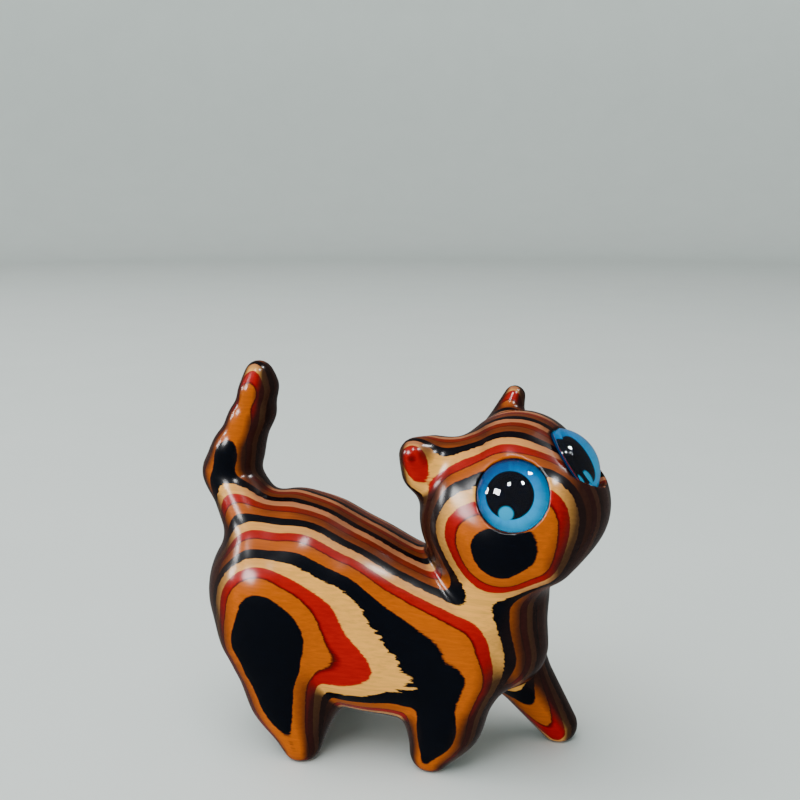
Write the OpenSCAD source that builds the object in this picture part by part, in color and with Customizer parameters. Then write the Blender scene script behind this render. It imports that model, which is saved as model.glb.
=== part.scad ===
// Laminated-wood cat. A walking cat with its head turned to one side, carved
// from a block of dyed veneer sheets glued face to face, with two domed glass
// eyes in drilled sockets. Millimetres: +X is forwards, +Y is the cat's left,
// +Z is up, and the cut soles stand on z = 0.

/* [Size] */
// Height of the carved cat, from its soles to the tip of its tail
cat_height = 44; // [34:1:60]

/* [Veneer block] */
// Thickness of one veneer sheet
veneer_t = 0.6; // [0.5:0.1:1.2]

/* [Glass eyes] */
// Diameter of a glass eye
eye_d = 7.4; // [6:0.2:8.4]
// Height of the straight edge of the glass, below its dome
eye_edge = 0.8; // [0.4:0.1:1.2]
// Height of the dome above the straight edge
eye_dome = 1.9; // [1.2:0.1:2.6]
// Thickness of the printed iris disc behind the glass
iris_t = 0.2; // [0.1:0.1:0.4]
// Depth of the flat-bottomed socket below the face
socket_depth = 1.8; // [1.2:0.1:2.4]

/* [Carving] */
// Height cut off under each paw to make its flat sole
sole_cut = 0.3; // [0.1:0.1:0.6]
// How far the rounding between two limbs fills out their surface
rounding = 0.2; // [0:0.05:0.3]
// Length of one facet on the carved surface
facet = 2; // [1.2:0.2:3]

/* [Hidden] */
// The joints below are laid out for a cat 44 mm high
unit = cat_height / 44;

// Each joint of the carved form is [forwards, left, up, radius]
// Trunk: three lines of joints along the belly, the middle and the back
belly = [[0, 0, 14.5, 9.6], [7, 0, 12.5, 8], [14, 0, 11, 7.5]];
middle = [[-3, 0, 17.4, 9.6], [5, 0, 18.5, 7.5], [18, 0, 15, 6.8]];
back = [[-2, 0, 24, 5.3], [0.5, 0, 21.5, 6.8], [10, 0, 17.5, 6]];
neck = [[22.2, 0, 14, 5.2], [21.2, 0.9, 20.3, 5.6], [20, 1, 28, 7.3]];
// Legs: the hind pair matches, and the left fore leg strides forwards
hind_leg = [[-4.5, 4.5, 13.5, 5], [-0.9, 4.3, 11, 4.9], [-2.5, 4.3, 10.5, 4.8],
            [-1, 4, 7, 5.2], [1, 7, 2, 2.3]];
right_fore_leg = [[19.5, -3, 11.5, 3.8], [16.7, -3.15, 5.5, 3.9], [15.5, -4.55, 2.1, 2.4]];
left_fore_leg = [[17, 3.6, 14, 5], [22, 5.4, 10, 3.8], [28, 5.8, 1.9, 2.2]];
// Head: a flattened ball, from the cheeks up to the crown
cheeks = [[23.3, -0.85, 26.6, 6.6], [26, -2, 26.7, 5]];
crown = [[19.5, 1, 30.9, 5.4], [23.5, 2, 32.7, 6.6], [26.5, 0.3, 30.3, 6.6], [19.5, 1, 30.9, 5.4]];
right_ear = [[14, 0.5, 33.1, 3.4], [12.9, -1.95, 35, 1.5], [13.1, -1.65, 32.9, 1.4]];
right_brow = [[14.8, -0.5, 34.5, 1.9], [18.8, -0.5, 34.7, 2]];
left_ear = [[20.7, 6.3, 36.8, 2.1], [21.7, 7.2, 40.3, 1.2]];
// Tail: flattened, so its upper part has a front line and a rear line
tail_front = [[-5, -2, 23.5, 4.2], [-11, 1.2, 30.5, 3], [-9.9, 0.45, 33.3, 2.5],
              [-8.4, 0.2, 37, 1.8], [-7.2, 0, 40.5, 1.4], [-6.8, 0.4, 42.5, 1.2]];
tail_rear = [[-9.4, 1.8, 33.5, 2.2], [-7.2, 1.35, 38, 1.6], [-6.45, 1.1, 41, 1.3],
             [-6.8, 0.9, 42.3, 1.2]];

// Each eye sits at a place on the face and looks along a direction
right_eye_seat = [24.2, -6, 32.7];
right_eye_look = [0.05, -0.94, 0.34];
left_eye_seat = [30.6, 0.1, 35.9];
left_eye_look = [0.82, 0.14, 0.555];

limbs = [belly, middle, back, neck, right_fore_leg, left_fore_leg, cheeks, crown,
         right_ear, right_brow, left_ear, tail_front, tail_rear, hind_leg,
         [for (j = hind_leg) [j.x, -j.y, j.z, j[3]]]];
joints = [for (limb = limbs) for (j = limb) j];
front_end = max([for (j = joints) j.x + j[3]]);
rear_end = min([for (j = joints) j.x - j[3]]);
half_width = max([for (j = joints) abs(j.y) + j[3]]) * unit;
// The shift that puts the middle of the cat's length at x = 0
middle_x = (front_end + rear_end) / 2;

// The block has as many whole sheets as its width needs, with one in the middle
side_sheets = ceil(half_width / veneer_t - 0.5);
sheet_count = 2 * side_sheets + 1;
dyes = ["black", "orange", "red", "cream"];
dye_colours = [[0.04, 0.05, 0.09], [0.93, 0.52, 0.03], [0.78, 0.06, 0.03], [0.98, 0.80, 0.47]];

function dye_of(i) = ((i - side_sheets - 1) % 4 + 4) % 4;
function sheet_name(i) = str("veneer_", i < 10 ? "0" : "", i, "_", dyes[dye_of(i)]);

module ball(joint) {
    translate(unit * [joint.x - middle_x, joint.y, joint.z])
        sphere(r = unit * joint[3] + rounding, $fa = 20, $fs = facet);
}

module limb(line) {
    for (k = [0 : len(line) - 2]) hull() {
        ball(line[k]);
        ball(line[k + 1]);
    }
}

// Moves a child so that its z axis runs along an eye's line of sight
module at_eye(seat, look) {
    turn = atan2(look.y, look.x);
    tilt = acos(look.z / norm(look));
    translate(unit * [seat.x - middle_x, seat.y, seat.z])
        rotate([0, tilt, turn])
            children();
}

module socket(seat, look) {
    at_eye(seat, look)
        translate([0, 0, -socket_depth])
            cylinder(d = eye_d + 0.1, h = socket_depth + eye_d, $fn = 36);
}

module carved_cat() {
    difference() {
        union() for (line = limbs) limb(line);
        socket(right_eye_seat, right_eye_look);
        socket(left_eye_seat, left_eye_look);
    }
}

// The slab of space that one sheet of the block fills, from the soles up
module sheet_space(i) {
    reach = 2 * cat_height;
    translate([-reach, (i - side_sheets - 1.5) * veneer_t, sole_cut])
        cube([2 * reach, veneer_t, reach]);
}

module veneer(i) {
    color(dye_colours[dye_of(i)])
        translate([0, 0, -sole_cut])
            intersection() {
                carved_cat();
                sheet_space(i);
            }
}

module iris(seat, look) {
    color([0.02, 0.45, 0.75])
        translate([0, 0, -sole_cut])
            at_eye(seat, look)
                translate([0, 0, -socket_depth])
                    cylinder(d = eye_d, h = iris_t, $fn = 64);
}

module eye_glass(seat, look) {
    // Radius of the ball that the dome is a cap of
    dome_r = (pow(eye_d / 2, 2) + pow(eye_dome, 2)) / (2 * eye_dome);
    color([0.75, 0.88, 0.95, 0.4])
        translate([0, 0, -sole_cut])
            at_eye(seat, look)
                translate([0, 0, iris_t - socket_depth])
                    intersection() {
                        cylinder(d = eye_d, h = eye_edge + eye_dome, $fn = 64);
                        translate([0, 0, eye_edge + eye_dome - dome_r]) sphere(r = dome_r, $fn = 64);
                    }
}

for (i = [1 : sheet_count]) veneer(i);
iris(right_eye_seat, right_eye_look);  // right_iris
eye_glass(right_eye_seat, right_eye_look);  // right_eye_glass
iris(left_eye_seat, left_eye_look);  // left_iris
eye_glass(left_eye_seat, left_eye_look);  // left_eye_glass
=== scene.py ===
"""Laminated-wood cat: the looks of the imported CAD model.

The carved form is built as one smooth distance field from the same limbs that the CAD model hulls
together. The field is meshed once and cut on the glue planes, so each veneer sheet is its own closed
piece. Lengths below are in millimetres until a mesh is made, and then in metres.
"""
import math

import bpy
import numpy as np
import openvdb
from mathutils import Matrix, Vector
from mathutils.geometry import delaunay_2d_cdt


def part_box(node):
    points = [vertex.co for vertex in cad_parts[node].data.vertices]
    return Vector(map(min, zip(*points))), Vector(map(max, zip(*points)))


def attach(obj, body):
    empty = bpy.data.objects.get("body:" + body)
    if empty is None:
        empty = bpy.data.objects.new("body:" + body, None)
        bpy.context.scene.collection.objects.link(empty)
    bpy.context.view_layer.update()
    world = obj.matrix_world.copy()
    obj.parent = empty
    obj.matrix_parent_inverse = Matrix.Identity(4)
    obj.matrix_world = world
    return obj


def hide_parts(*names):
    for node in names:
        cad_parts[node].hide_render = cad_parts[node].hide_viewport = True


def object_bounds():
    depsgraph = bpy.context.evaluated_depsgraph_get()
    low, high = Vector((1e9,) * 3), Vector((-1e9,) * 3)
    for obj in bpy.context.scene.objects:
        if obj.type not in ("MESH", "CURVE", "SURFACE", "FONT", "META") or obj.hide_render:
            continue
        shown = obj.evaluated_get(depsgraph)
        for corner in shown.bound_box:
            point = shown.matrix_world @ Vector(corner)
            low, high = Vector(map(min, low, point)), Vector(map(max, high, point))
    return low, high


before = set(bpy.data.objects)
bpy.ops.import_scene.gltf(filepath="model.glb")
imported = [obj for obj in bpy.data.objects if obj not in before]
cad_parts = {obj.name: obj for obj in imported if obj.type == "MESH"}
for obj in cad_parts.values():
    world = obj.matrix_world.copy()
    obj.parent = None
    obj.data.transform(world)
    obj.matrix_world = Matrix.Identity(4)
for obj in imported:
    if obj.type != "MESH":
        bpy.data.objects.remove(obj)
cad_low, cad_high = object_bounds()

MM = 0.001
SHEETS = sorted(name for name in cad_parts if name.startswith("veneer_"))
DYES = ["black", "orange", "red", "cream"]

# ---------------------------------------------------------------- carved form

# The CAD model's limbs, repeated because the frame holds only faceted hulls of them. Each joint is
# (forwards, left, up, radius), for a cat whose soles stand SOLE_CUT above zero, and fit_to_frame()
# moves them to the frame. About half of these numbers came from a fitting program.
SOLE_CUT = 0.3
BELLY = [(0, 0, 14.5, 9.6), (7, 0, 12.5, 8), (14, 0, 11, 7.5)]
MIDDLE = [(-3, 0, 17.4, 9.6), (5, 0, 18.5, 7.5), (18, 0, 15, 6.8)]
BACK = [(-2, 0, 24, 5.3), (0.5, 0, 21.5, 6.8), (10, 0, 17.5, 6)]
NECK = [(22.2, 0, 14, 5.2), (21.2, 0.9, 20.3, 5.6), (20, 1, 28, 7.3)]
HIND_LEG = [(-4.5, 4.5, 13.5, 5), (-0.9, 4.3, 11, 4.9), (-2.5, 4.3, 10.5, 4.8),
            (-1, 4, 7, 5.2), (1, 7, 2, 2.3)]
RIGHT_FORE_LEG = [(19.5, -3, 11.5, 3.8), (16.7, -3.15, 5.5, 3.9), (15.5, -4.55, 2.1, 2.4)]
LEFT_FORE_LEG = [(17, 3.6, 14, 5), (22, 5.4, 10, 3.8), (28, 5.8, 1.9, 2.2)]
CHEEKS = [(23.3, -0.85, 26.6, 6.6), (26, -2, 26.7, 5)]
CROWN = [(19.5, 1, 30.9, 5.4), (23.5, 2, 32.7, 6.6), (26.5, 0.3, 30.3, 6.6), (19.5, 1, 30.9, 5.4)]
RIGHT_EAR = [(14, 0.5, 33.1, 3.4), (12.9, -1.95, 35, 1.5), (13.1, -1.65, 32.9, 1.4)]
RIGHT_BROW = [(14.8, -0.5, 34.5, 1.9), (18.8, -0.5, 34.7, 2)]
LEFT_EAR = [(20.7, 6.3, 36.8, 2.1), (21.7, 7.2, 40.3, 1.2)]
TAIL_FRONT = [(-5, -2, 23.5, 4.2), (-11, 1.2, 30.5, 3), (-9.9, 0.45, 33.3, 2.5),
              (-8.4, 0.2, 37, 1.8), (-7.2, 0, 40.5, 1.4), (-6.8, 0.4, 42.5, 1.2)]
TAIL_REAR = [(-9.4, 1.8, 33.5, 2.2), (-7.2, 1.35, 38, 1.6), (-6.45, 1.1, 41, 1.3),
             (-6.8, 0.9, 42.3, 1.2)]

BLEND = 1.6            # width of the rounding where two limbs meet
SOCKET_GAP = 0.05      # room between a glass eye and the wood around it
LIP_BLEND = 0.3        # rounding of the socket lips and the sole edges
VOXEL = 0.25
BLOCK = 4              # voxels along one side of a block of the field
MARGIN = 4             # voxels of empty space left round the cat
FAR_OUTSIDE = 3.0      # the field's value where the grid says nothing
SLOPE_STEP = 0.02      # distance over which the field's slope is measured
CLEAR = 0.02           # share of a sheet by which mesh points are kept off the glue planes


def mirrored(limb):
    """The same limb on the cat's other side."""
    return [(x, -y, z, r) for x, y, z, r in limb]


def fit_to_frame():
    """All limbs as pairs of joints, moved so that their middle is at the frame's origin."""
    limbs = [BELLY, MIDDLE, BACK, NECK, RIGHT_FORE_LEG, LEFT_FORE_LEG, CHEEKS, CROWN,
             RIGHT_EAR, RIGHT_BROW, LEFT_EAR, TAIL_FRONT, TAIL_REAR, HIND_LEG, mirrored(HIND_LEG)]
    joints = [joint for limb in limbs for joint in limb]
    front_end = max(x + r for x, y, z, r in joints)
    rear_end = min(x - r for x, y, z, r in joints)
    shift = np.array([(front_end + rear_end) / 2, 0, SOLE_CUT, 0])
    return [(np.array(a) - shift, np.array(b) - shift) for limb in limbs for a, b in zip(limb, limb[1:])]


def bone_distance(points, a, b):
    """Signed distance to the hull of two balls, given as (x, y, z, radius)."""
    axis = b[:3] - a[:3]
    length = np.linalg.norm(axis)
    narrowing = (a[3] - b[3]) / length
    if abs(narrowing) >= 1:
        big = a if a[3] > b[3] else b
        return np.linalg.norm(points - big[:3], axis=1) - big[3]
    offset = points - a[:3]
    along = offset @ (axis / length)
    across = np.sqrt(np.maximum((offset ** 2).sum(1) - along ** 2, 0))
    foot = along - across * narrowing / math.sqrt(1 - narrowing ** 2)
    foot = np.clip(foot, 0, length)
    return np.hypot(along - foot, across) - (a[3] - narrowing * foot)


def blend_lower(p, q, width):
    """The lower of two fields, rounded where they are within width of each other."""
    closeness = np.maximum(width - np.abs(p - q), 0) / width
    return np.minimum(p, q) - closeness ** 2 * width / 4


def blend_higher(p, q, width):
    """The higher of two fields, rounded where they are within width of each other."""
    return -blend_lower(-p, -q, width)


def socket_distance(points, eye):
    """Signed distance to the drilled socket of one eye."""
    offset = points - eye["centre"]
    depth = offset @ eye["look"]
    across = np.sqrt(np.maximum((offset ** 2).sum(1) - depth ** 2, 0))
    return np.maximum(across - eye["radius"] - SOCKET_GAP, -eye["thickness"] / 2 - depth)


def wood_distance(points, bones, eyes):
    """Signed distance to the carved wood, below zero inside it."""
    field = bone_distance(points, *bones[0])
    for a, b in bones[1:]:
        field = blend_lower(field, bone_distance(points, a, b), BLEND)
    field = blend_higher(field, -points[:, 2], LIP_BLEND)
    for eye in eyes:
        field = blend_higher(field, -socket_distance(points, eye), LIP_BLEND)
    return field


def wood_gradient(points, bones, eyes):
    """Unit normals of the field at some points."""
    slopes = []
    for direction in np.eye(3) * SLOPE_STEP:
        ahead = wood_distance(points + direction, bones, eyes)
        behind = wood_distance(points - direction, bones, eyes)
        slopes.append(ahead - behind)
    slopes = np.stack(slopes, 1)
    return slopes / np.linalg.norm(slopes, axis=1, keepdims=True)


def grid_places(counts):
    """The whole-number place of every cell of a grid, as rows of three."""
    return np.stack(np.meshgrid(*[np.arange(n) for n in counts], indexing="ij"), -1).reshape(-1, 3)


def sample_field(low, high, bones, eyes):
    """The field on a grid: exact in the blocks near the surface, coarse elsewhere."""
    side = VOXEL * BLOCK
    counts = np.ceil((high - low) / side).astype(int)
    middle = (BLOCK - 1) / 2
    centres = low + (grid_places(counts) * BLOCK + middle) * VOXEL
    coarse = wood_distance(centres, bones, eyes).reshape(counts)
    field = coarse
    for axis in range(3):
        field = np.repeat(field, BLOCK, axis=axis)
    near = np.argwhere(np.abs(coarse) < side)
    cells = (near[:, None, :] * BLOCK + grid_places([BLOCK] * 3)).reshape(-1, 3)
    field[tuple(cells.T)] = wood_distance(low + cells * VOXEL, bones, eyes)
    return field


def mesh_field(field, low):
    """Points and triangles of the field's surface. Each square is cut along its shorter diagonal."""
    grid = openvdb.FloatGrid(FAR_OUTSIDE)
    grid.copyFromArray(field.astype(np.float32))
    points, quads = grid.convertToQuads(isovalue=0.0)
    points = points * VOXEL + low
    a, b, c, d = quads.T
    from_a = np.linalg.norm(points[a] - points[c], axis=1)
    from_b = np.linalg.norm(points[b] - points[d], axis=1)
    along_a = (from_a <= from_b)[:, None]
    one = np.where(along_a, np.stack([a, b, c], 1), np.stack([a, b, d], 1))
    two = np.where(along_a, np.stack([a, c, d], 1), np.stack([b, c, d], 1))
    return points, np.vstack([one, two])


def carve():
    """The whole carved surface, facing outwards: points, triangles and unit normals, in millimetres."""
    bones = fit_to_frame()
    eyes = [eye_frame(side) for side in ("right", "left")]
    margin = MARGIN * VOXEL
    low = np.array(cad_low) / MM - margin
    high = np.array(cad_high) / MM + margin
    points, triangles = mesh_field(sample_field(low, high, bones, eyes), low)
    normals = wood_gradient(points, bones, eyes)
    points = points - normals * wood_distance(points, bones, eyes)[:, None]
    facing = np.cross(points[triangles[:, 1]] - points[triangles[:, 0]],
                      points[triangles[:, 2]] - points[triangles[:, 0]])
    if (facing * normals[triangles[:, 0]]).sum() < 0:
        triangles = triangles[:, ::-1]
    return points, triangles, normals


# ---------------------------------------------------------------- veneer sheets

def glue_planes():
    """The y of each glue line, in millimetres, read from the CAD sheets."""
    inner = SHEETS[1:-1]
    return np.array([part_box(name)[0].y / MM for name in inner] + [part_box(inner[-1])[1].y / MM])


def split_on_planes(points, triangles, normals, planes):
    """Cuts each triangle that crosses a glue plane. Returns the new surface and each point's level.

    The level counts planes: a point between planes 3 and 4 has a level between 3 and 4.
    """
    pitch = planes[1] - planes[0]
    level = (points[:, 1] - planes[0]) / pitch
    nearest = np.round(level)
    gap = level - nearest
    level = np.where(np.abs(gap) < CLEAR, nearest + np.where(gap < 0, -CLEAR, CLEAR), level)
    points = points.copy()
    points[:, 1] = planes[0] + pitch * level
    for plane in range(len(planes)):
        points, triangles, normals, level = cut_once(points, triangles, normals, level, plane)
    return points, triangles, normals, level


def cut_once(points, triangles, normals, level, plane):
    """Splits the triangles that lie on both sides of one plane."""
    above = level[triangles] > plane
    below = level[triangles] < plane
    crossing = above.any(1) & below.any(1)
    cut = triangles[crossing]
    side = above[crossing]
    alone = np.where(side.sum(1) == 1, np.argmax(side, 1), np.argmin(side, 1))
    rows = np.arange(len(cut))
    tip = cut[rows, alone]
    left = cut[rows, (alone + 1) % 3]
    right = cut[rows, (alone + 2) % 3]
    edges = np.sort(np.vstack([np.stack([tip, left], 1), np.stack([tip, right], 1)]), 1)
    edges, place = np.unique(edges, axis=0, return_inverse=True)
    place = place.reshape(-1) + len(points)
    start, end = edges.T
    share = ((plane - level[start]) / (level[end] - level[start]))[:, None]
    points = np.vstack([points, points[start] * (1 - share) + points[end] * share])
    slopes = normals[start] * (1 - share) + normals[end] * share
    normals = np.vstack([normals, slopes / np.linalg.norm(slopes, axis=1, keepdims=True)])
    level = np.append(level, np.full(len(edges), float(plane)))
    near = place[:len(cut)]
    far = place[len(cut):]
    tips = np.stack([tip, near, far], 1)
    bases = np.vstack([np.stack([near, left, right], 1), np.stack([near, right, far], 1)])
    return points, np.vstack([triangles[~crossing], tips, bases]), normals, level


def inside_outlines(spots, starts, ends):
    """Which flat spots are inside closed outlines, given by the two ends of every edge."""
    x = spots[:, :1]
    y = spots[:, 1:]
    rises = (starts[:, 1] > y) != (ends[:, 1] > y)
    run = np.where(rises, ends[:, 1] - starts[:, 1], 1)
    crossing = starts[:, 0] + (y - starts[:, 1]) * (ends[:, 0] - starts[:, 0]) / run
    return (rises & (x < crossing)).sum(1) % 2 == 1


def cap_triangles(points, edges):
    """Fills the outlines that a glue plane cuts out of the wood. Returns point numbers, facing +y."""
    used, edges = np.unique(edges, return_inverse=True)
    edges = edges.reshape(-1, 2)
    flat = points[used][:, [0, 2]]
    filled = delaunay_2d_cdt([Vector(spot) for spot in flat], edges.tolist(), [], 1, 0.0)
    origin = np.array([ids[0] for ids in filled[3]])
    faces = origin[np.array(filled[2])]
    inside = inside_outlines(flat[faces].mean(1), flat[edges[:, 0]], flat[edges[:, 1]])
    faces = used[faces[inside]]
    corners = points[faces]
    facing = np.cross(corners[:, 1] - corners[:, 0], corners[:, 2] - corners[:, 0])[:, 1]
    return np.where(facing[:, None] > 0, faces, faces[:, ::-1])


def edges_on_plane(triangles, on_plane):
    """The triangle edges that have both ends on a glue plane."""
    pairs = np.vstack([triangles[:, [0, 1]], triangles[:, [1, 2]], triangles[:, [2, 0]]])
    return pairs[on_plane[pairs].all(1)]


def sheet_meshes(points, triangles, normals, planes):
    """One closed mesh per veneer sheet: (points, triangles, normal of each triangle corner)."""
    points, triangles, normals, level = split_on_planes(points, triangles, normals, planes)
    owner = np.clip(np.floor(level[triangles].mean(1)).astype(int) + 1, 0, len(planes))
    caps = [cap_triangles(points, edges_on_plane(triangles[owner == plane], level == plane))
            for plane in range(len(planes))]
    meshes = []
    for number in range(len(planes) + 1):
        outer = triangles[owner == number]
        parts = [outer]
        corner_normals = [normals[outer].reshape(-1, 3)]
        if number < len(planes):
            parts.append(caps[number])
            corner_normals.append(np.tile([0.0, 1.0, 0.0], (caps[number].size, 1)))
        if number > 0:
            parts.append(caps[number - 1][:, ::-1])
            corner_normals.append(np.tile([0.0, -1.0, 0.0], (caps[number - 1].size, 1)))
        used, faces = np.unique(np.vstack(parts), return_inverse=True)
        meshes.append((points[used], faces.reshape(-1, 3), np.vstack(corner_normals)))
    return meshes


# ---------------------------------------------------------------- pieces

def add_object(name, data):
    """A new object in the scene."""
    thing = bpy.data.objects.new(name, data)
    bpy.context.scene.collection.objects.link(thing)
    return thing


def add_mesh(name, points, faces):
    """A smooth-shaded mesh object, from lists of points in metres and faces."""
    mesh = bpy.data.meshes.new(name)
    mesh.from_pydata(points, [], faces)
    mesh.shade_smooth()
    return add_object(name, mesh)


def finish_piece(piece, node, material):
    """Gives a piece its material, puts it on the root body and hides the CAD node it stands for."""
    piece.data.materials.append(material)
    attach(piece, "root")
    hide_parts(node)


def make_wood():
    """The carved form as veneer sheets, from the cat's right side to its left."""
    materials = {dye: veneer_material(dye) for dye in DYES}
    meshes = sheet_meshes(*carve(), glue_planes())
    for node, (points, faces, corner_normals) in zip(SHEETS, meshes):
        dye = node.split("_")[-1]
        piece = add_mesh(f"carved_{node}", (points * MM).tolist(), faces.tolist())
        piece.data.normals_split_custom_set(corner_normals.tolist())
        finish_piece(piece, node, materials[dye])


# ---------------------------------------------------------------- eyes

ON_RIM = 0.99           # share of the eye's radius past which a glass point is on its rim
GLASS_ROUND = 0.12      # rounding of the glass's lower edge
IRIS_SUNK = 0.03        # depth of the iris disc inside the back of its glass
EYE_TURNS = 96
EDGE_STEPS = 6
DOME_STEPS = 28


def node_points(node):
    """The corner points of a CAD node, in millimetres."""
    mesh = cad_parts[node].data
    return np.array([v.co for v in mesh.vertices]) / MM


def eye_frame(side):
    """Where one eye's glass is, in millimetres: its middle, its line of sight and its size."""
    disc = node_points(f"{side}_iris")
    glass = node_points(f"{side}_eye_glass")
    centre = disc.mean(0)
    look = np.linalg.svd(disc - centre)[2][2]
    if (glass.mean(0) - centre) @ look < 0:
        look = -look
    depth = (disc - centre) @ look
    across = np.linalg.norm(disc - centre - depth[:, None] * look, axis=1)
    radius = across.max()
    rise = (glass - centre) @ look
    rim = np.linalg.norm(glass - centre - rise[:, None] * look, axis=1) > ON_RIM * radius
    return {"centre": centre, "look": look, "radius": radius, "thickness": np.ptp(depth),
            "shoulder": rise[rim].max(), "top": rise.max()}


def eye_matrix(eye):
    """Places an eye's own axes: z along its line of sight and y as near to upwards as it can be."""
    look = Vector(eye["look"])
    across = Vector((0, 0, 1)).cross(look).normalized()
    matrix = Matrix((across, look.cross(across), look)).transposed().to_4x4()
    matrix.translation = Vector(eye["centre"]) * MM
    return matrix


def ring_points(rings, turns):
    """The points of level rings round the z axis, each given as (radius, height)."""
    angles = np.arange(turns) * 2 * math.pi / turns
    return [(r * math.cos(a), r * math.sin(a), z) for r, z in rings for a in angles]


def lathe(name, outline, turns):
    """A closed solid turned round the z axis, from an outline that starts and ends on the axis."""
    rings = outline[1:-1]
    points = [(0, 0, outline[0][1])] + ring_points(rings, turns) + [(0, 0, outline[-1][1])]
    last = len(points) - 1
    faces = []
    for k in range(turns):
        after = (k + 1) % turns
        faces.append((0, 1 + after, 1 + k))
        for row in range(len(rings) - 1):
            base = 1 + row * turns
            faces.append((base + k, base + after, base + turns + after, base + turns + k))
        base = 1 + (len(rings) - 1) * turns
        faces.append((base + k, base + after, last))
    return add_mesh(name, [Vector(point) * MM for point in points], faces)


def arc(radius, centre, start, end, steps):
    """Points (r, z) on an arc about (centre_r, centre_z), with angles in degrees from the r axis."""
    angles = np.radians(np.linspace(start, end, steps + 1))
    return [(centre[0] + radius * math.cos(a), centre[1] + radius * math.sin(a)) for a in angles]


def glass_outline(eye):
    """Outline of a domed cabochon: flat back, straight edge, then a ball's cap up to its top."""
    bottom = eye["thickness"] / 2 - IRIS_SUNK
    rise = eye["top"] - eye["shoulder"]
    ball = (eye["radius"] ** 2 + rise ** 2) / (2 * rise)
    slope = math.degrees(math.asin(eye["radius"] / ball))
    back = arc(GLASS_ROUND, (eye["radius"] - GLASS_ROUND, bottom + GLASS_ROUND), -90, 0, EDGE_STEPS)
    dome = arc(ball, (0, eye["top"] - ball), 90 - slope, 90, DOME_STEPS)
    return [(0, bottom)] + back + dome


def make_eye(side, print_material, clear_material):
    """A printed iris disc with a clear glass cabochon in front of it."""
    eye = eye_frame(side)
    half = eye["thickness"] / 2
    disc_outline = [(0, -half), (eye["radius"], -half), (eye["radius"], half), (0, half)]
    disc = lathe(f"{side}_iris_disc", disc_outline, EYE_TURNS)
    glass = lathe(f"{side}_glass_dome", glass_outline(eye), EYE_TURNS)
    disc.matrix_world = eye_matrix(eye)
    glass.matrix_world = eye_matrix(eye)
    finish_piece(disc, f"{side}_iris", print_material)
    finish_piece(glass, f"{side}_eye_glass", clear_material)


def make_eyes():
    """Both eyes, with the same print and the same glass."""
    print_material = iris_material(eye_frame("right")["radius"])
    clear_material = glass_material()
    make_eye("right", print_material, clear_material)
    make_eye("left", print_material, clear_material)


# ---------------------------------------------------------------- materials

def add(tree, kind, inputs=None, **settings):
    """Adds a shader node with these settings and inputs, and returns it."""
    node = tree.nodes.new("ShaderNode" + kind)
    for key, value in settings.items():
        setattr(node, key, value)
    for key, value in (inputs or {}).items():
        if isinstance(value, bpy.types.NodeSocket):
            tree.links.new(value, node.inputs[key])
        else:
            node.inputs[key].default_value = value
    return node


def maths(tree, operation, *values):
    """A Math node's result."""
    return add(tree, "Math", dict(enumerate(values)), operation=operation).outputs[0]


def noise(tree, vector, detail=2.0, roughness=0.5):
    """Noise between about -1 and 1."""
    inputs = {"Vector": vector, "Scale": 1.0, "Detail": detail, "Roughness": roughness}
    texture = add(tree, "TexNoise", inputs)
    return maths(tree, "MULTIPLY_ADD", texture.outputs["Fac"], 4.0, -2.0)


def scaled(tree, vector, factors):
    """A vector with each part multiplied by its own factor."""
    return add(tree, "VectorMath", {0: vector, 1: factors}, operation="MULTIPLY").outputs[0]


def map_range(tree, value, source, target, **settings):
    """A value carried from one range of numbers to another, and held at its ends."""
    inputs = {0: value, 1: source[0], 2: source[1], 3: target[0], 4: target[1]}
    return add(tree, "MapRange", inputs, **settings).outputs[0]


def mix_colour(tree, share, a, b, blend="MIX"):
    """Colour a, moved towards b by share, or blended with it."""
    node = add(tree, "Mix", {0: share, 6: a, 7: b}, data_type="RGBA", blend_type=blend)
    return node.outputs[2]


def ramp(tree, value, stops):
    """A colour ramp from (position, colour) stops."""
    node = add(tree, "ValToRGB", {0: value})
    elements = node.color_ramp.elements
    while len(elements) < len(stops):
        elements.new(1.0)
    for element, (position, colour) in zip(elements, stops):
        element.position = position
        element.color = colour
    return node.outputs[0]


def new_material(name):
    """A node material with only a Principled shader: (material, its tree, the shader)."""
    material = bpy.data.materials.new(name)
    material.use_nodes = True
    tree = material.node_tree
    return material, tree, tree.nodes["Principled BSDF"]


def set_values(node, values):
    """Sets these inputs of a node."""
    for socket, value in values.items():
        node.inputs[socket].default_value = value


def srgb(red, green, blue):
    """A linear colour from 0 to 255 display values."""
    def linear(value):
        value /= 255
        return value / 12.92 if value <= 0.04045 else ((value + 0.055) / 1.055) ** 2.4
    return (linear(red), linear(green), linear(blue), 1.0)


# Each dye on the face of its sheet, and on the sheet's edge
DYE_COLOURS = {
    "black": (0.001, 0.002, 0.005, 1.0),
    "orange": (0.54, 0.105, 0.0, 1.0),
    "red": (0.44, 0.0, 0.0, 1.0),
    "cream": (0.98, 0.45, 0.08, 1.0),
    "dark_red": (0.06, 0.001, 0.001, 1.0),
}
EDGE_COLOURS = {
    "black": (0.004, 0.002, 0.003, 1.0),
    "orange": (0.13, 0.026, 0.006, 1.0),
    "red": (0.16, 0.012, 0.003, 1.0),
    "cream": (0.42, 0.15, 0.06, 1.0),
    "dark_red": (0.06, 0.006, 0.003, 1.0),
}
# Dark end grain, deepened with painted shade where the surface faces forwards or backwards
END_GRAIN_AND_SHADE = (0.016, 0.007, 0.006, 1.0)
BLEED = 0.03            # share of a sheet over which one dye turns into the next
DARK_SHARE = 0.22       # share of a red sheet over which its dark side brightens

# The grain: waves per millimetre along and across the fibres, which run along x
SWELL_WAVES = (0.12, 0.12, 0.12)
FIBRE_WAVES = (0.3, 2.6, 2.6)
HAIR_WAVES = (0.5, 9.0, 9.0)
STREAK_WAVES = (0.16, 3.5, 3.5)

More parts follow.
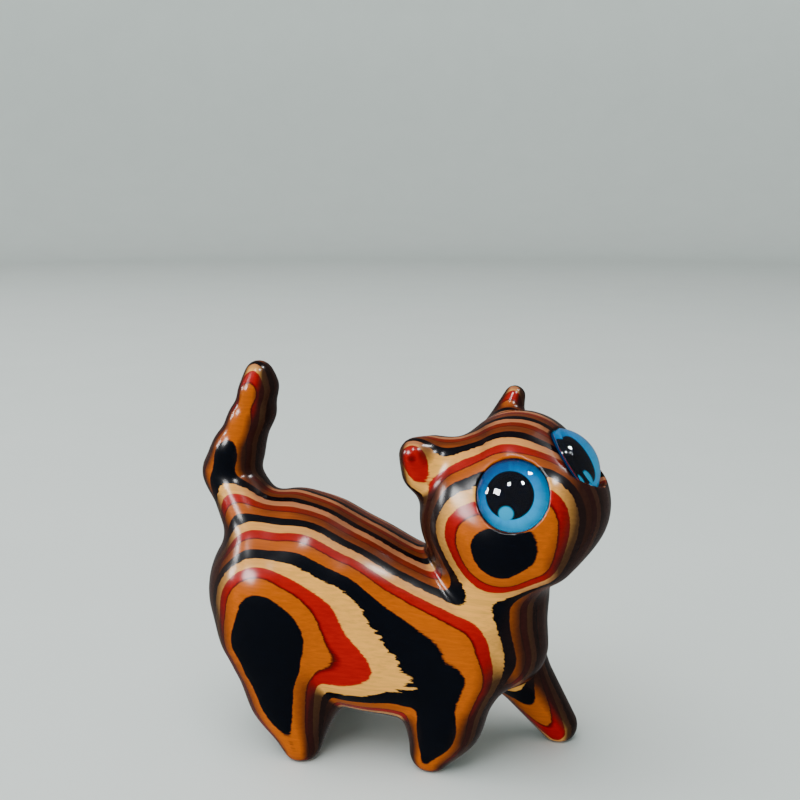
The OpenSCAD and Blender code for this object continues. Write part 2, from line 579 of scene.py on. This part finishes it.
# How far each noise moves the glue lines, in millimetres. The fibres reach least in the middle of the
# four dyes and most where cream meets black. CREAM_TO_BLACK is the stretch over which that grows.
SWELL_REACH = 0.02
HAIR_REACH = 0.014
FIBRE_REACH = (0.022, 0.08)
CREAM_TO_BLACK = (0.38, 0.46)
LEVEL_MARGIN = 0.05     # share of a sheet kept clear inside both outer faces of the block

# How far the surface faces sideways where a sheet's face turns into its edge, and forwards or
# backwards where its edge turns into end grain that is darkened partly by its grain and partly by
# painted shade
FACE_TO_EDGE = (0.93, 0.55)
EDGE_TO_END_AND_SHADE = (0.3, 0.62)
END_AND_SHADE_SHARE = 0.93        # how much of its own colour the end grain and its painted shade take

STREAK_LIGHT = (0.78, 1.16)     # brightness from the darkest streak to the lightest
GRAIN_RELIEF = {"Strength": 0.15, "Distance": 0.00002}
LACQUER = {"Roughness": 0.42, "Specular IOR Level": 0.0,
           "Coat Weight": 1.0, "Coat Roughness": 0.2, "Coat IOR": 1.25}

# The printed iris, with places and sizes as shares of its radius
# The side where the blue brightens: partly the print's own gradient and partly painted caustic light
# from the glass
IRIS_PRINT_AND_CAUSTIC_SIDE = (0.6, -0.8, 0.0)
IRIS_BLUES = [
    (0.15, (0.0, 0.045, 0.16, 1.0)),
    (0.5, (0.0, 0.16, 0.4, 1.0)),
    (0.85, (0.0, 0.32, 0.62, 1.0)),
]
IRIS_RAYS = 7.0         # waves of the rays in one radian
RAY_CONTRAST = 0.06
RIM_RADIUS = 0.93
RIM_BLUE = (0.0, 0.02, 0.08, 1.0)
PUPIL_AT = (-0.08, 0.0, 0.0)
PUPIL_RADIUS = 0.56
PUPIL_BLACK = (0.0005, 0.001, 0.003, 1.0)
SPARK_AT = (-0.14, -0.42, 0.0)
SPARK_RADIUS = 0.17
SPARK_CYAN = (0.0, 0.24, 0.42, 1.0)
SOFT_EDGE = 0.06        # width of the edge of the rim and the spark
CRISP_EDGE = 0.03       # width of the edge of the pupil
PRINT = {"Roughness": 0.5, "Specular IOR Level": 0.0}

CLEAR_GLASS = {"Base Color": (0.93, 0.98, 1.0, 1.0), "Transmission Weight": 1.0,
               "Roughness": 0.02, "IOR": 1.5}

MOTTLE_WAVES = (30.0, 30.0, 30.0)       # waves per metre
MOTTLE_CONTRAST = 0.25
MOTTLE_SHADES = (srgb(224, 233, 230), srgb(231, 239, 236))
TABLE_ROUGHNESS = 0.45


def dye_stops(palette):
    """Ramp stops for each dye in turn. The red dye is darkest where it meets the orange."""
    count = len(DYES)
    colours = [palette[dye] for dye in DYES]
    stops = [(0, colours[0])]
    for step in range(1, count):
        stops.append(((step - BLEED) / count, colours[step - 1]))
        if DYES[step] == "red":
            stops.append(((step + BLEED) / count, palette["dark_red"]))
            stops.append(((step + DARK_SHARE) / count, colours[step]))
        else:
            stops.append(((step + BLEED) / count, colours[step]))
    stops.append((1 - BLEED / count, colours[-1]))
    stops.append((1, colours[0]))
    return stops


def sheet_level(tree, y):
    """How many sheets lie between the cat's right side and this y, in millimetres."""
    planes = glue_planes()
    pitch = planes[1] - planes[0]
    return maths(tree, "MULTIPLY_ADD", y, 1 / pitch, 1 - planes[0] / pitch)


def dye_share(tree, level):
    """Where a level is within its four dyes, from 0 at the start of black to 1 at the end of cream."""
    return maths(tree, "FRACT", maths(tree, "MULTIPLY", level, 1 / len(DYES)))


def feathered_share(tree, place, y):
    """The dye share, with glue lines that swell gently and are feathered by the fibres."""
    swell = noise(tree, scaled(tree, place, SWELL_WAVES), detail=1.0)
    fibres = noise(tree, scaled(tree, place, FIBRE_WAVES), detail=3.0, roughness=0.6)
    hairs = noise(tree, scaled(tree, place, HAIR_WAVES), detail=1.0)
    plain_share = dye_share(tree, sheet_level(tree, y))
    from_middle = maths(tree, "ABSOLUTE", maths(tree, "SUBTRACT", plain_share, 0.5))
    fibre_reach = map_range(tree, from_middle, CREAM_TO_BLACK, FIBRE_REACH)
    moved = maths(tree, "MULTIPLY_ADD", swell, SWELL_REACH, y)
    moved = maths(tree, "MULTIPLY_ADD", fibres, fibre_reach, moved)
    moved = maths(tree, "MULTIPLY_ADD", hairs, HAIR_REACH, moved)
    level = sheet_level(tree, moved)
    limits = {0: level, 1: LEVEL_MARGIN, 2: len(SHEETS) - LEVEL_MARGIN}
    return dye_share(tree, add(tree, "Clamp", limits).outputs[0])


def veneer_material(dye):
    """Dyed veneer under gloss lacquer: bright on a sheet's face, dark on its edge, and dark on its end
    grain, which also carries painted shade.
    """
    material, tree, shader = new_material(f"{dye}_veneer")
    coordinates = add(tree, "TexCoord")
    place = scaled(tree, coordinates.outputs["Object"], (1 / MM, 1 / MM, 1 / MM))
    y = add(tree, "SeparateXYZ", {0: place}).outputs[1]
    share = feathered_share(tree, place, y)

    forwards, sideways, _ = add(tree, "SeparateXYZ", {0: coordinates.outputs["Normal"]}).outputs
    on_edge = map_range(tree, maths(tree, "ABSOLUTE", sideways), FACE_TO_EDGE, (0.0, 1.0))
    # Faces turned forwards or backwards take the end grain colour, which is partly real end grain and
    # partly painted shade
    end_grain_and_shade = map_range(tree, maths(tree, "ABSOLUTE", forwards), EDGE_TO_END_AND_SHADE, (0.0, END_AND_SHADE_SHARE))
    on_face = ramp(tree, share, dye_stops(DYE_COLOURS))
    colour = mix_colour(tree, on_edge, on_face, ramp(tree, share, dye_stops(EDGE_COLOURS)))
    colour = mix_colour(tree, end_grain_and_shade, colour, END_GRAIN_AND_SHADE)

    streaks = noise(tree, scaled(tree, place, STREAK_WAVES), detail=4.0, roughness=0.65)
    light = map_range(tree, streaks, (-1.0, 1.0), STREAK_LIGHT)
    colour = mix_colour(tree, 1.0, colour, light, "MULTIPLY")
    relief = add(tree, "Bump", {"Height": streaks, **GRAIN_RELIEF})
    tree.links.new(colour, shader.inputs["Base Color"])
    tree.links.new(relief.outputs[0], shader.inputs["Normal"])
    set_values(shader, LACQUER)
    return material


def distance_to(tree, place, spot):
    """The distance from a place to a fixed spot."""
    return add(tree, "VectorMath", {0: place, 1: spot}, operation="DISTANCE").outputs["Value"]


def disc_on(tree, colour, distance, radius, softness, disc_colour, inside=True):
    """Paints a soft-edged disc, or everything outside it, over a colour."""
    edge = (radius - softness / 2, radius + softness / 2)
    cover = (float(inside), float(not inside))
    share = map_range(tree, distance, edge, cover, interpolation_type="SMOOTHSTEP")
    return mix_colour(tree, share, colour, disc_colour)


def iris_material(radius):
    """A printed iris: dark rim, blue that brightens to one side partly as print and partly as painted
    caustic light, black pupil and a cyan spark.
    """
    material, tree, shader = new_material("iris_print")
    coordinates = add(tree, "TexCoord")
    size = 1 / (MM * radius)
    place = scaled(tree, coordinates.outputs["Object"], (size, size, 0.0))
    x, y, _ = add(tree, "SeparateXYZ", {0: place}).outputs
    out = add(tree, "VectorMath", {0: place}, operation="LENGTH").outputs["Value"]
    turn = maths(tree, "MULTIPLY", maths(tree, "ARCTAN2", y, x), IRIS_RAYS)
    rays = noise(tree, add(tree, "CombineXYZ", {0: turn, 1: out}).outputs[0])
    # Brighter towards one side: partly print and partly painted caustic light
    print_and_caustic_side = add(tree, "VectorMath", {0: place, 1: IRIS_PRINT_AND_CAUSTIC_SIDE}, operation="DOT_PRODUCT")
    brightness = maths(tree, "MULTIPLY_ADD", print_and_caustic_side.outputs["Value"], 0.5, 0.5)
    brightness = maths(tree, "MULTIPLY_ADD", rays, RAY_CONTRAST, brightness)
    colour = ramp(tree, brightness, IRIS_BLUES)
    colour = disc_on(tree, colour, out, RIM_RADIUS, SOFT_EDGE, RIM_BLUE, inside=False)
    from_pupil = distance_to(tree, place, PUPIL_AT)
    colour = disc_on(tree, colour, from_pupil, PUPIL_RADIUS, CRISP_EDGE, PUPIL_BLACK)
    from_spark = distance_to(tree, place, SPARK_AT)
    colour = disc_on(tree, colour, from_spark, SPARK_RADIUS, SOFT_EDGE, SPARK_CYAN)
    tree.links.new(colour, shader.inputs["Base Color"])
    set_values(shader, PRINT)
    return material


def glass_material():
    """Clear polished glass."""
    material, _, shader = new_material("eye_glass")
    set_values(shader, CLEAR_GLASS)
    return material


def table_material():
    """A pale, slightly glossy table top with faint mottling."""
    material, tree, shader = new_material("table_top")
    coordinates = add(tree, "TexCoord")
    mottling = noise(tree, scaled(tree, coordinates.outputs["Object"], MOTTLE_WAVES), detail=4.0)
    share = maths(tree, "MULTIPLY_ADD", mottling, MOTTLE_CONTRAST, 0.5)
    colour = mix_colour(tree, share, *MOTTLE_SHADES)
    tree.links.new(colour, shader.inputs["Base Color"])
    set_values(shader, {"Roughness": TABLE_ROUGHNESS})
    return material


# ---------------------------------------------------------------- stage

# The camera: where it stands round the cat, in degrees, its focal length and its place in millimetres
PHOTO_AZIMUTH = 17.7
PHOTO_PITCH = 11.2
PHOTO_LENS = 44.9
PHOTO_DISTANCE = 113.0      # from the camera to the middle of the cat, along the camera's axis
PHOTO_RISE = 18.1           # of the camera's axis above the middle of the cat
PHOTO_SLIDE = 0.7           # of the camera's axis to the right of the middle of the cat
NEAR_CLIP = 0.005           # nearest visible distance, in metres

# The table and the backdrop round it, in metres
TABLE_RADIUS = 1.0
CORNER_RADIUS = 0.3
CORNER_STEPS = 13
BACKDROP_TOP = 1.1
TABLE_TURNS = 96
ROOM_LIGHT = {"Color": (1.0, 1.0, 0.98, 1.0), "Strength": 0.2}

# Each light's name, azimuth and elevation in degrees, distance, width and height in metres, and
# watts, and whether it gives only highlights or everything but highlights
LIGHTS = [
    ("ceiling", -50, 66, 0.9, 1.2, 1.2, 15, False),
    ("window", -44, 24, 0.6, 0.18, 0.12, 6, True),
    ("side_lamp", -74, 15, 0.6, 0.06, 0.12, 2, True),
    ("left_lamp", -14, 50, 0.6, 0.07, 0.1, 2.5, True),
    ("right_lamp", 38, 53, 0.6, 0.06, 0.08, 3.5, True),
    ("far_lamp", 100, 62, 0.6, 0.06, 0.08, 3.5, True),
]


def aim(thing, back):
    """Turns a camera or a light so that it looks the opposite way to back."""
    thing.rotation_mode = "QUATERNION"
    thing.rotation_quaternion = (-back).to_track_quat("-Z", "Y")


def direction(azimuth, elevation):
    """The unit vector towards a place round the cat: azimuth 0 is its right side, 90 its front."""
    a = math.radians(azimuth)
    e = math.radians(elevation)
    return Vector((math.sin(a) * math.cos(e), -math.cos(a) * math.cos(e), math.sin(e)))


def make_camera():
    """The camera, at the photo's viewing angle."""
    data = bpy.data.cameras.new("camera")
    data.lens = PHOTO_LENS
    data.clip_start = NEAR_CLIP
    camera = add_object("camera", data)
    bpy.context.scene.camera = camera
    back = direction(PHOTO_AZIMUTH, PHOTO_PITCH)
    right = Vector((0, 0, 1)).cross(back).normalized()
    up = back.cross(right)
    middle = (Vector(cad_low) + Vector(cad_high)) / 2
    offset = back * PHOTO_DISTANCE + right * PHOTO_SLIDE + up * PHOTO_RISE
    camera.location = middle + offset * MM
    aim(camera, back)


def make_stage():
    """A round table top that runs up into a backdrop on all sides, and a pale sky."""
    slope = [(TABLE_RADIUS + CORNER_RADIUS * math.sin(a), CORNER_RADIUS * (1 - math.cos(a)))
             for a in np.linspace(0, math.pi / 2, CORNER_STEPS)]
    rings = slope + [(TABLE_RADIUS + CORNER_RADIUS, BACKDROP_TOP)]
    points = [(0, 0, 0)] + ring_points(rings, TABLE_TURNS)
    faces = [(0, 1 + k, 1 + (k + 1) % TABLE_TURNS) for k in range(TABLE_TURNS)]
    for row in range(len(rings) - 1):
        base = 1 + row * TABLE_TURNS
        for k in range(TABLE_TURNS):
            after = (k + 1) % TABLE_TURNS
            faces.append((base + k, base + TABLE_TURNS + k, base + TABLE_TURNS + after, base + after))
    table = add_mesh("table_top", points, faces)
    table.data.materials.append(table_material())
    table.visible_glossy = False
    world = bpy.data.worlds.new("room")
    world.use_nodes = True
    set_values(world.node_tree.nodes["Background"], ROOM_LIGHT)
    bpy.context.scene.world = world


def make_light(name, azimuth, elevation, distance, width, height, watts, only_highlights):
    """A soft rectangular light that faces the cat."""
    data = bpy.data.lights.new(name, "AREA")
    data.shape = "RECTANGLE"
    data.size = width
    data.size_y = height
    data.energy = watts
    light = add_object(name, data)
    back = direction(azimuth, elevation)
    light.location = back * distance
    light.visible_diffuse = not only_highlights
    light.visible_glossy = only_highlights
    aim(light, back)


make_camera()
make_stage()
for light in LIGHTS:
    make_light(*light)
make_wood()
make_eyes()
